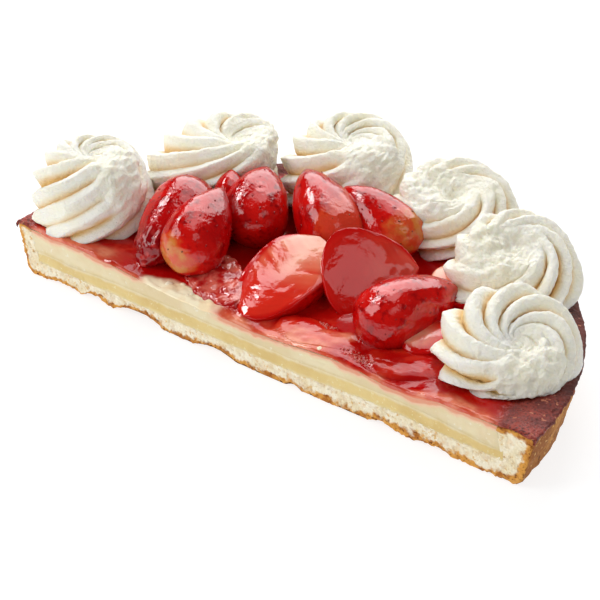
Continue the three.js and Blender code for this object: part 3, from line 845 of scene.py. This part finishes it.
def bare_cream(x, y):
    """1 where the cream shows bare, without glaze, beside the cut."""
    patch = bump(x, -39, 34) * bump(y, 0, 12)
    return smoothstep(patch + 0.3 * lumps(flat(x, y), 5, 42), 0.3, 0.6)


def thinness(x, y):
    """1 where the glaze is thin and pale, 0 where it is deep and dark."""
    thin = 0.9 - smoothstep(y + 1.5 * lumps(flat(x, y), 5, 41), -1, 4)
    for place_x, place_y, reach_x, reach_y in THIN_GLAZE:
        thin = np.maximum(thin, 1.3 * bump(x, place_x, reach_x) * bump(y, place_y, reach_y))
    for place_x, place_y, reach in DEEP_GLAZE:
        thin = thin - 1.2 * bump(np.hypot(x - place_x, y - place_y), 0, reach)
    return smoothstep(thin + 0.3 * lumps(flat(x, y), 4, 43), 0.1, 0.9)


def glaze_grid():
    """Places on the glaze: rows by their turn, columns by their distance from the middle."""
    turns = np.linspace(0, 1, GLAZE_TURNS + 1)
    turns = np.pi * lerp(turns, turns**2 * (3 - 2 * turns), 0.88)
    inside = np.linspace(0, RIM_ROWS_START, 84)
    radii = np.concatenate([inside, np.linspace(RIM_ROWS_START, GLAZE_EDGE, 34)[1:]])
    turn, radius = np.meshgrid(turns, radii, indexing="ij")
    cos, sin = np.cos(turn), np.sin(turn)
    sin[-1] = 0
    on_edge = flat(GLAZE_EDGE * cos, GLAZE_EDGE * sin)
    serrated = relief(on_edge, (0.4, 2.6, 44), (0.3, 1.3, 45)) - 0.3
    return radius + serrated * smoothstep(radius, 124, GLAZE_EDGE), cos, sin


def with_lip(values):
    """Values on the top of the glaze, carried on over its lip."""
    return np.concatenate([values] + [values[:, -1:]] * len(GLAZE_LIP), 1)


def along_cut(values):
    """Values of the grid along the cut, from its left end to its right one."""
    return np.concatenate([values[-1, ::-1], values[0, 1:]])


def glaze_front(top, underside, marks):
    """The edge of the glaze at the cut, where it has run down over the cream."""
    x, z = along_cut(top[..., 0]), along_cut(top[..., 2])
    marks = {key: along_cut(values) for key, values in marks.items()}
    share = np.linspace(0, 1, FRONT_STEPS)[:, None]
    run = lerp(drip(x), BARE_RUN, marks["bare"])
    bulge = 0.08 * share**2 - 0.24 * np.sin(np.pi * share**0.7) * np.minimum(1, run)
    front = np.stack([np.broadcast_to(x, bulge.shape), bulge, z - run * share], -1)
    front[1:, :, 1] += 0.1 * lumps(front[1:], 1.6, 34) * np.sin(np.pi * share[1:])
    last = np.stack([x, np.zeros_like(x), along_cut(with_lip(underside[..., 2]))], -1)
    points = np.concatenate([front, last[None]])
    return sheet("glaze_front", points, bleed=np.append(share, [[1]], 0), **marks)


def glaze_piece(fruit, sunken, material):
    radius, cos, sin = glaze_grid()
    x, y = radius * cos, radius * sin
    z, on_rim, under = glaze_height(x, y, fruit, sunken)
    bare = bare_cream(x, y)
    curds = relief(flat(x, y), (0.7, 4.5, 47), (0.6, 1.9, 48))
    z = z + bare * curds * smoothstep(y, 0, 1.5)
    top = with_lip(np.stack([x, y, z], -1))
    for column, (outwards, upwards) in enumerate(GLAZE_LIP, len(x[0])):
        reach = radius[:, -1] + outwards
        lip = [reach * cos[:, 0], reach * sin[:, 0], z[:, -1] + upwards]
        top[:, column] = np.stack(lip, -1)
    marks = dict(thin=thinness(x, y), bare=bare, rim=on_rim, slice=under, back=smoothstep(y, 6, 40))
    marks = {key: with_lip(values) for key, values in marks.items()}
    underside = np.stack([x, y, np.minimum(glaze_top(x, y) - GLAZE_THIN, z - 0.15)], -1)
    underside[:, -1] = top[:, -1]
    sheets = [
        sheet("glaze_top", top, **marks, bleed=0),
        sheet("glaze_under", underside, **dict.fromkeys(marks, 0), bleed=0),
        glaze_front(top, underside, marks),
    ]
    piece = closed("red_glaze", *sheets)
    keep_corners(piece)
    return dress(piece, material, "fruit_glaze", "glaze")


# ---- seeds, bubbles and crumbs ----
BUBBLES = [(49, 5, 5, 70), (44, 7, 5, 30), (25, 17, 4, 34)]  # x, y, reach and how many
BUBBLE_SIZE = (0.2, 0.5)
CREAM_CRUMBS = [(-41, 3, 8, 4), (30, 1.5, 6, 3)]
CREAM_CRUMB_SIZE = (0.8, 1.9)
SEED_SIZE = (0.65, 0.4, 0.2)  # half of its length, width and thickness
SEED_SINK = 0.16


def small_sphere():
    """Points and faces of a coarse ball of radius 1."""
    select_only()
    bpy.ops.mesh.primitive_uv_sphere_add(segments=10, ring_count=7, radius=1)
    pattern = bpy.context.object
    shape = np.array([v.co for v in pattern.data.vertices])
    faces = [tuple(p.vertices) for p in pattern.data.polygons]
    bpy.data.objects.remove(pattern)
    return shape, faces


def many(name, bodies, faces):
    """One mesh of many small bodies that share their faces."""
    starts = [i * len(bodies[0]) for i in range(len(bodies))]
    polygons = [tuple(start + v for v in face) for start in starts for face in faces]
    mesh = bpy.data.meshes.new(name)
    mesh.from_pydata([Vector(p) for p in to_scene(np.concatenate(bodies))], [], polygons)
    piece = bpy.data.objects.new(name, mesh)
    bpy.context.collection.objects.link(piece)
    mesh.shade_smooth()
    return piece


def scattered(name, groups, size, ground, unlike, raised, seed, material, slot):
    """Small bodies in clusters on the ground, raised by a share of their radius."""
    draw = Draw(seed)
    shape, faces = small_sphere()
    bodies = []
    for x, y, reach, count in groups:
        for _ in range(count):
            turn, off = 2 * math.pi * draw(), reach * math.sqrt(draw()) * draw() ** 0.3
            radius = lerp(*size, draw() ** 2)
            place_x, place_y = x + 1.4 * off * math.cos(turn), y + 0.6 * off * math.sin(turn)
            if place_y < radius + CUT_CLEARANCE:
                continue
            place = np.array([place_x, place_y, ground(place_x, place_y) + raised * radius])
            body = shape * radius * (1 + unlike * lumps(shape + 3 * place, 0.9, seed))[:, None]
            body[:, 2] *= 1 - unlike
            bodies.append(body + place)
    return dress(many(name, bodies, faces), material, slot)


def seeds_piece(material):
    """Every seed that lies free on a strawberry's skin, in one mesh."""
    shape, faces = small_sphere()
    bodies, ripe = [], []
    for berry in BERRIES:
        stem, _, along, _, out = berry_axis(berry)
        for share, angle in zip(*seed_places(berry)):
            place = berry_skin(berry, share, angle)
            cut_off = (place - stem) @ out > berry["cut"] - 1.2
            under_glaze = place[2] < over(place, glaze_top) + 1.0
            if cut_off or under_glaze or place[1] < 0.8 or share > berry.get("crumple", UNCRUMPLED):
                continue
            outward = off_axis(place, stem, along)
            lengthwise = along - outward * (along @ outward)
            lengthwise /= np.linalg.norm(lengthwise)
            basis = np.stack([lengthwise, np.cross(outward, lengthwise), outward])
            bodies.append(shape * SEED_SIZE @ basis + place - outward * SEED_SINK)
            ripe.extend([float(ripeness(berry, share, angle))] * len(shape))
    piece = many("strawberry_seeds", bodies, faces)
    attribute(piece, "ripe", ripe)
    return dress(piece, material, "strawberry")


# ---- materials ----
def colour(red, green, blue):
    """A colour given as it looks on a screen, 0 to 255, for a shader socket."""
    channels = (c / 255 for c in (red, green, blue))
    return (*(c / 12.92 if c <= 0.04045 else ((c + 0.055) / 1.055) ** 2.4 for c in channels), 1)


def patches_group():
    """A mask of soft patches, of the noise at Scale; Low and High bound the part that shows."""
    group = bpy.data.node_groups.new("soft patches", "ShaderNodeTree")
    for name, value in (("Scale", 100.0), ("Low", 0.4), ("High", 0.6), ("Detail", 3.0)):
        socket = group.interface.new_socket(name, in_out="INPUT", socket_type="NodeSocketFloat")
        socket.default_value = value
    group.interface.new_socket("Mask", in_out="OUTPUT", socket_type="NodeSocketFloat")
    nodes = group.nodes
    taken, given = nodes.new("NodeGroupInput"), nodes.new("NodeGroupOutput")
    place, noise = nodes.new("ShaderNodeTexCoord"), nodes.new("ShaderNodeTexNoise")
    span = nodes.new("ShaderNodeMapRange")
    span.interpolation_type = "SMOOTHSTEP"
    for source, out, target, into in (
        (place, "Object", noise, "Vector"),
        (taken, "Scale", noise, "Scale"),
        (taken, "Detail", noise, "Detail"),
        (noise, "Fac", span, "Value"),
        (taken, "Low", span, "From Min"),
        (taken, "High", span, "From Max"),
        (span, "Result", given, "Mask"),
    ):
        group.links.new(source.outputs[out], target.inputs[into])
    return group


PATCHES = patches_group()


class Finish:
    """One material under construction, with short calls for the nodes it needs.

    A value is a number, the output of a node, the name of a vertex attribute or a screen
    colour of three numbers from 0 to 255.
    """

    def __init__(self, name, **sockets):
        self.material = bpy.data.materials.new(name)
        self.material.use_nodes = True
        self.tree = self.material.node_tree
        self.shader = self.tree.nodes["Principled BSDF"]
        for key, value in sockets.items():
            self.shader.inputs[key.replace("_", " ")].default_value = value

    def node(self, kind):
        return self.tree.nodes.new(kind)

    def put(self, value, socket):
        if isinstance(value, str):
            node = self.node("ShaderNodeAttribute")
            node.attribute_name = value
            value = node.outputs["Fac"]
        if hasattr(value, "is_output"):
            self.tree.links.new(value, socket)
        else:
            socket.default_value = colour(*value) if isinstance(value, tuple) else value

    def patches(self, scale, low, high, detail=3.0):
        node = self.node("ShaderNodeGroup")
        node.node_tree = PATCHES
        for key, value in (("Scale", scale), ("Low", low), ("High", high), ("Detail", detail)):
            node.inputs[key].default_value = value
        return node.outputs["Mask"]

    def mix(self, share, a, b):
        node = self.node("ShaderNodeMix")
        node.data_type = "RGBA"
        self.put(share, node.inputs[0])
        self.put(a, node.inputs[6])
        self.put(b, node.inputs[7])
        return node.outputs[2]

    def mottled(self, shown, *layers):
        """A colour with soft patches of others, each with its scale, low and high end."""
        for scale, low, high, patch in layers:
            shown = self.mix(self.patches(scale, low, high), shown, patch)
        return shown

    def math(self, operation, a, b=0.0, c=0.0):
        node = self.node("ShaderNodeMath")
        node.operation = operation
        for value, socket in zip((a, b, c), node.inputs):
            self.put(value, socket)
        return node.outputs[0]

    def times(self, a, b):
        return self.math("MULTIPLY", a, b)

    def span(self, value, low, high, to_low=0.0, to_high=1.0):
        node = self.node("ShaderNodeMapRange")
        node.interpolation_type = "SMOOTHSTEP"
        for i, number in enumerate((value, low, high, to_low, to_high)):
            self.put(number, node.inputs[i])
        return node.outputs["Result"]

    def base(self, value):
        self.put(value, self.shader.inputs["Base Color"])
        return self.material

    def roughness(self, value):
        self.put(value, self.shader.inputs["Roughness"])

    def subsurface(self, scale, radius):
        """How far light goes under the surface, and the shares of that for its three colours."""
        self.shader.inputs["Subsurface Scale"].default_value = scale
        self.shader.inputs["Subsurface Radius"].default_value = radius

    def bump(self, height, distance, strength=1.0):
        node = self.node("ShaderNodeBump")
        node.inputs["Distance"].default_value = distance
        node.inputs["Strength"].default_value = strength
        self.put(height, node.inputs["Height"])
        self.put(node.outputs["Normal"], self.shader.inputs["Normal"])


def crust_finish():
    finish = Finish("baked shortcrust", Roughness=0.8, Specular_IOR_Level=0.25)
    baked = finish.mottled(
        (196, 134, 66),
        (45, 0.4, 0.62, (158, 96, 44)),
        (330, 0.55, 0.7, (112, 62, 26)),
        (700, 0.58, 0.7, (226, 180, 112)),
    )
    finish.bump(finish.patches(900, 0.3, 0.7, 6), 0.0006, 0.6)
    return finish.base(baked)


def crumb_finish():
    finish = Finish("open crumb", Roughness=0.85, Specular_IOR_Level=0.2)
    crumb = finish.mottled(
        (252, 243, 218),
        (170, 0.4, 0.65, (244, 229, 192)),
        (500, 0.59, 0.7, (232, 196, 138)),
    )
    # Painted shade in the crumb's holes: tan where they are.
    crumb = finish.mix(finish.times("hole", 0.5), crumb, (238, 212, 170))
    baked = finish.mottled(
        (226, 162, 76),
        (240, 0.42, 0.64, (180, 110, 44)),
        (600, 0.56, 0.68, (128, 70, 26)),
    )
    grainy = finish.math("MULTIPLY_ADD", finish.patches(420, 0.35, 0.65), 0.5, "skin")
    finish.bump(finish.patches(1000, 0.3, 0.7, 5), 0.0004, 0.6)
    return finish.base(finish.mix(finish.span(grainy, 0.25, 1.1), crumb, baked))


def custard_finish():
    finish = Finish("set custard", Roughness=0.38, Subsurface_Weight=0.2)
    finish.subsurface(0.003, (1.0, 0.7, 0.3))
    soft = finish.mottled(
        (229, 203, 134),
        (60, 0.35, 0.65, (219, 188, 117)),
        (700, 0.62, 0.72, (236, 220, 166)),
    )
    up = finish.math("MULTIPLY_ADD", finish.patches(140, 0.3, 0.7), 0.14, "up")
    soft = finish.mix(finish.span(up, 0.02, 0.3, 0.8, 0), soft, (236, 218, 172))
    finish.bump(finish.patches(500, 0.3, 0.7, 5), 0.0003, 0.4)
    return finish.base(finish.mix(finish.span(up, 0.72, 1.0), soft, (236, 219, 178)))


def cream_finish():
    finish = Finish("firm cream", Roughness=0.5, Subsurface_Weight=0.3)
    finish.subsurface(0.003, (1.0, 0.8, 0.5))
    soft = finish.mottled(
        (235, 220, 182),
        (50, 0.35, 0.65, (227, 206, 162)),
        (500, 0.62, 0.75, (244, 236, 214)),
    )
    up = finish.math("MULTIPLY_ADD", finish.patches(140, 0.3, 0.7), 0.14, "up")
    soft = finish.mix(finish.span(up, 0.0, 0.32, 1, 0), soft, (226, 203, 147))
    soft = finish.mix(finish.span("stain", 0.0, 0.8), soft, (240, 200, 166))
    finish.bump(finish.patches(450, 0.3, 0.7, 5), 0.0003, 0.4)
    return finish.base(finish.mix(finish.span("stain", 0.7, 1.0), soft, (232, 158, 126)))


def whipped_finish():
    finish = Finish("whipped cream", Roughness=0.5, Specular_IOR_Level=0.25, Subsurface_Weight=0.4)
    finish.subsurface(0.005, (1.0, 0.85, 0.6))
    ivory = finish.mottled((254, 251, 238), (60, 0.35, 0.65, (252, 247, 229)))
    ivory = finish.mix(finish.times("torn", 0.35), ivory, (252, 244, 222))
    grain = finish.math("ADD", finish.patches(900, 0.3, 0.7, 4), finish.patches(320, 0.35, 0.65))
    finish.bump(grain, 0.0005, 0.5)
    # Painted shade: warm yellow in the grooves, where the groove mask is high.
    return finish.base(finish.mix(finish.span("groove", 0.25, 0.85), ivory, (238, 202, 136)))


def berry_skin_colour(finish):
    """Deep red with darker patches and painted shade in the seed pits, pale where the strawberry is
    unripe.
    """
    skin = finish.mottled(
        (186, 6, 7),
        (60, 0.4, 0.65, (210, 18, 12)),
        (260, 0.52, 0.72, (152, 2, 6)),
    )
    # Painted shade: darker red in the seed pits.
    skin = finish.mix(finish.span("pit", 0.5, 1.6, 0.1, 0), skin, (122, 0, 4))
    pale = finish.mottled((210, 84, 36), (200, 0.38, 0.62, (202, 146, 64)))
    pale = finish.mix("blush", pale, (216, 66, 42))
    turning = finish.times("ripe", finish.math("SUBTRACT", 1.0, "ripe"))
    uneven = finish.math("MULTIPLY_ADD", finish.patches(190, 0.34, 0.66), 2.0, -1.0)
    ripe = finish.math("MULTIPLY_ADD", turning, uneven, "ripe")
    reddening = finish.mix(finish.span(ripe, 0.6, 1), (216, 66, 30), skin)
    return finish.mix(finish.span(ripe, 0.15, 0.95), pale, reddening)


def berry_flesh_colour(finish):
    """Veined flesh, palest round the core and at the stem end, red towards the skin."""
    flesh = finish.mix("vein", (214, 44, 26), (234, 126, 92))
    flesh = finish.mix(finish.times("core", 0.75), flesh, (240, 180, 150))
    flesh = finish.mix(finish.span("along", 0.02, 0.36, 0.75, 0), flesh, (243, 186, 156))
    flesh = finish.mix(finish.span("along", 0.26, 0.68), flesh, (214, 42, 26))
    flesh = finish.mix("flush", flesh, (206, 22, 17))
    return finish.mix(finish.span("border", 0.6, 4.0, 1, 0), flesh, (200, 12, 9))


def berry_finish():
    finish = Finish("glazed strawberry", Roughness=0.05, IOR=1.58, Subsurface_Weight=0.06)
    finish.subsurface(0.003, (1.0, 0.05, 0.03))
    shown = finish.mix("face", berry_skin_colour(finish), berry_flesh_colour(finish))
    jam = finish.mottled((142, 2, 10), (260, 0.5, 0.7, (196, 60, 56)))
    light_jam = finish.mottled((182, 20, 20), (160, 0.42, 0.62, (220, 104, 88)))
    jam = finish.mix("blush", jam, light_jam)
    height = finish.math("ADD", finish.patches(170, 0.3, 0.7), finish.patches(520, 0.3, 0.7))
    smooth_face = finish.math("MULTIPLY_ADD", "face", -0.75, 1.0)
    finish.bump(finish.times(height, smooth_face), 0.0003, 0.25)
    return finish.base(finish.mix("crumple", shown, jam))


def glaze_rim_colour(finish):
    """Baked on and dark where the glaze lies on the rim, darkest at the back."""
    front = finish.mottled((156, 54, 38), (90, 0.4, 0.64, (112, 34, 24)))
    behind = finish.mottled((96, 34, 20), (90, 0.4, 0.64, (66, 20, 11)))
    rim = finish.mix("back", front, behind)
    return finish.mottled(rim, (900, 0.5, 0.62, (96, 28, 18)), (420, 0.62, 0.7, (196, 116, 84)))


def glaze_finish():
    finish = Finish("red fruit glaze", Roughness=0.08, IOR=1.37)
    deep = finish.mottled(
        (174, 4, 6),
        (40, 0.4, 0.65, (198, 18, 12)),
        (150, 0.55, 0.75, (206, 44, 30)),
    )
    thin = finish.mottled((208, 76, 50), (110, 0.38, 0.62, (228, 132, 98)))
    slices = finish.mottled((226, 62, 34), (90, 0.4, 0.62, (196, 22, 14)))
    bare = finish.mottled((255, 241, 206), (120, 0.4, 0.6, (250, 226, 184)))
    layered = finish.mix("thin", deep, thin)
    layered = finish.mix(finish.times("slice", 0.55), layered, slices)
    layered = finish.mix(finish.span("bleed", 0.0, 0.6), layered, (226, 132, 102))
    layered = finish.mix(finish.span("bleed", 0.45, 1.0), layered, (238, 190, 156))
    layered = finish.mix("bare", layered, bare)
    dull = finish.times("rim", finish.math("ADD", "back", 0.5))
    dull = finish.math("MAXIMUM", dull, "bare")
    finish.roughness(finish.span(dull, 0.1, 0.8, 0.1, 0.7))
    grain = finish.times("rim", finish.patches(700, 0.35, 0.65, 5))
    ripple = finish.times(finish.patches(160, 0.3, 0.7), 0.25)
    finish.bump(finish.math("ADD", grain, ripple), 0.0006, 0.5)
    return finish.base(finish.mix("rim", layered, glaze_rim_colour(finish)))


def cream_crumb_finish():
    finish = Finish("crumbled cream", Roughness=0.7, Specular_IOR_Level=0.2)
    return finish.base(finish.mottled((255, 246, 220), (200, 0.4, 0.6, (253, 236, 204))))


def bubble_finish():
    return Finish("bubble in the glaze", Roughness=0.05, IOR=1.5).base((214, 104, 92))


def seed_finish():
    finish = Finish("strawberry seed", Roughness=0.2)
    return finish.base(finish.mix(finish.span("ripe", 0.5, 0.95), (120, 60, 20), (160, 8, 8)))


# ---- stage, light and camera ----
CAMERA_TURN = math.radians(38.08)
CAMERA_RISE = math.radians(32.36)
CAMERA_ROLL = math.radians(-0.57)
CAMERA_DISTANCE = 0.7581
CAMERA_TARGET = Vector((-0.00716, -0.02499, 0.010))
LENS = 110.65
SENSOR = 36.0
FLOOR_SIZE = 8
FLOOR_LEVEL = -0.0002
ROOM_LIGHT = 0.52
ROOM_LIGHT_IN_SHINE = 0.04


def add_stage():
    select_only()
    bpy.ops.mesh.primitive_plane_add(size=FLOOR_SIZE, location=(0, 0, FLOOR_LEVEL))
    floor = bpy.context.object
    floor.name = "floor"
    finish = Finish("pale floor", Roughness=0.9, Specular_IOR_Level=0.1, Emission_Strength=0.8)
    finish.shader.inputs["Emission Color"].default_value = (1, 1, 1, 1)
    grey = finish.mottled((150, 150, 150), (3, 0.3, 0.7, (146, 146, 146)))
    floor.data.materials.append(finish.base(grey))


def add_softbox(name, place, size, power, diffuse=True, glossy=True):
    light = bpy.data.lights.new(name, "AREA")
    light.shape, light.size, light.size_y = "RECTANGLE", *size
    light.energy = power
    lamp = bpy.data.objects.new(name, light)
    bpy.context.collection.objects.link(lamp)
    lamp.location = place
    aim = CAMERA_TARGET - lamp.location
    lamp.rotation_euler = aim.to_track_quat("-Z", "Y").to_euler()
    lamp.visible_diffuse, lamp.visible_glossy = diffuse, glossy


def add_room_light():
    """Even light from all around, that hardly shows in what shines."""
    world = bpy.data.worlds.new("studio")
    bpy.context.scene.world = world
    world.use_nodes = True
    nodes, link = world.node_tree.nodes, world.node_tree.links.new
    nodes["Background"].inputs["Color"].default_value = (1, 1, 1, 1)
    rays, strength = nodes.new("ShaderNodeLightPath"), nodes.new("ShaderNodeMapRange")
    strength.inputs["To Min"].default_value = ROOM_LIGHT
    strength.inputs["To Max"].default_value = ROOM_LIGHT_IN_SHINE
    link(rays.outputs["Is Glossy Ray"], strength.inputs["Value"])
    link(strength.outputs["Result"], nodes["Background"].inputs["Strength"])


def add_lights():
    add_room_light()
    add_softbox("back softbox", (-0.56, 0.79, 0.87), size=(0.8, 0.55), power=11, glossy=False)
    add_softbox("shine panel", (-0.38, 0.84, 0.83), size=(1.7, 1.2), power=25, diffuse=False)
    add_softbox("left softbox", (-0.75, -0.75, 0.8), size=(0.7, 0.7), power=6)
    add_softbox("side panel", (-0.92, -0.06, 0.98), size=(0.32, 0.24), power=4, diffuse=False)
    add_softbox("right softbox", (0.82, -0.27, 0.98), size=(0.5, 0.4), power=0.8, diffuse=False)
    add_softbox("overhead panel", (-0.05, 0.3, 1.25), size=(0.8, 0.8), power=4.5, diffuse=False)


def add_camera():
    data = bpy.data.cameras.new("camera")
    data.sensor_width, data.lens = SENSOR, LENS
    data.clip_start, data.clip_end = 0.05, 20
    camera = bpy.data.objects.new("camera", data)
    bpy.context.collection.objects.link(camera)
    level_back = Vector((math.sin(CAMERA_TURN), -math.cos(CAMERA_TURN), 0))
    back = level_back * math.cos(CAMERA_RISE) + Vector((0, 0, math.sin(CAMERA_RISE)))
    camera.location = CAMERA_TARGET + back * CAMERA_DISTANCE
    roll = Matrix.Rotation(CAMERA_ROLL, 3, "Z").to_quaternion()
    camera.rotation_euler = (back.to_track_quat("Z", "Y") @ roll).to_euler()
    bpy.context.scene.camera = camera


# ---- assembly ----
def build_tart():
    crust_piece(crust_finish())
    crumb = crumb_finish()
    crumb_piece(1, 0.0, crumb)
    crumb_piece(2, math.pi, crumb)
    for layer, finish in zip(LAYERS, (custard_finish, cream_finish)):
        layer_piece(layer, finish())
    red = berry_finish()
    berries = [berry_piece(i, berry, red) for i, berry in enumerate(BERRIES, 1)]
    seeds_piece(seed_finish())
    sunken = [berries[i - 1] for i in SUNKEN_SLICES]
    standing = [berry for berry in berries if berry not in sunken]
    glaze = glaze_piece(fruit_tree(standing), fruit_tree(sunken), glaze_finish())
    level = surface_of(glaze)
    scattered("glaze_bubbles", BUBBLES, BUBBLE_SIZE, level, 0, 0.2, 51, bubble_finish(), "fruit_glaze")
    crumbs = (CREAM_CRUMBS, CREAM_CRUMB_SIZE, level, 0.5, -0.1, 52)
    scattered("cream_crumbs", *crumbs, cream_crumb_finish(), "cream_filling")
    white = whipped_finish()
    for number, rosette in enumerate(ROSETTES, 1):
        rosette_piece(number, rosette, white)


bpy.context.scene.view_settings.view_transform = "Standard"
build_tart()
add_stage()
add_lights()
add_camera()
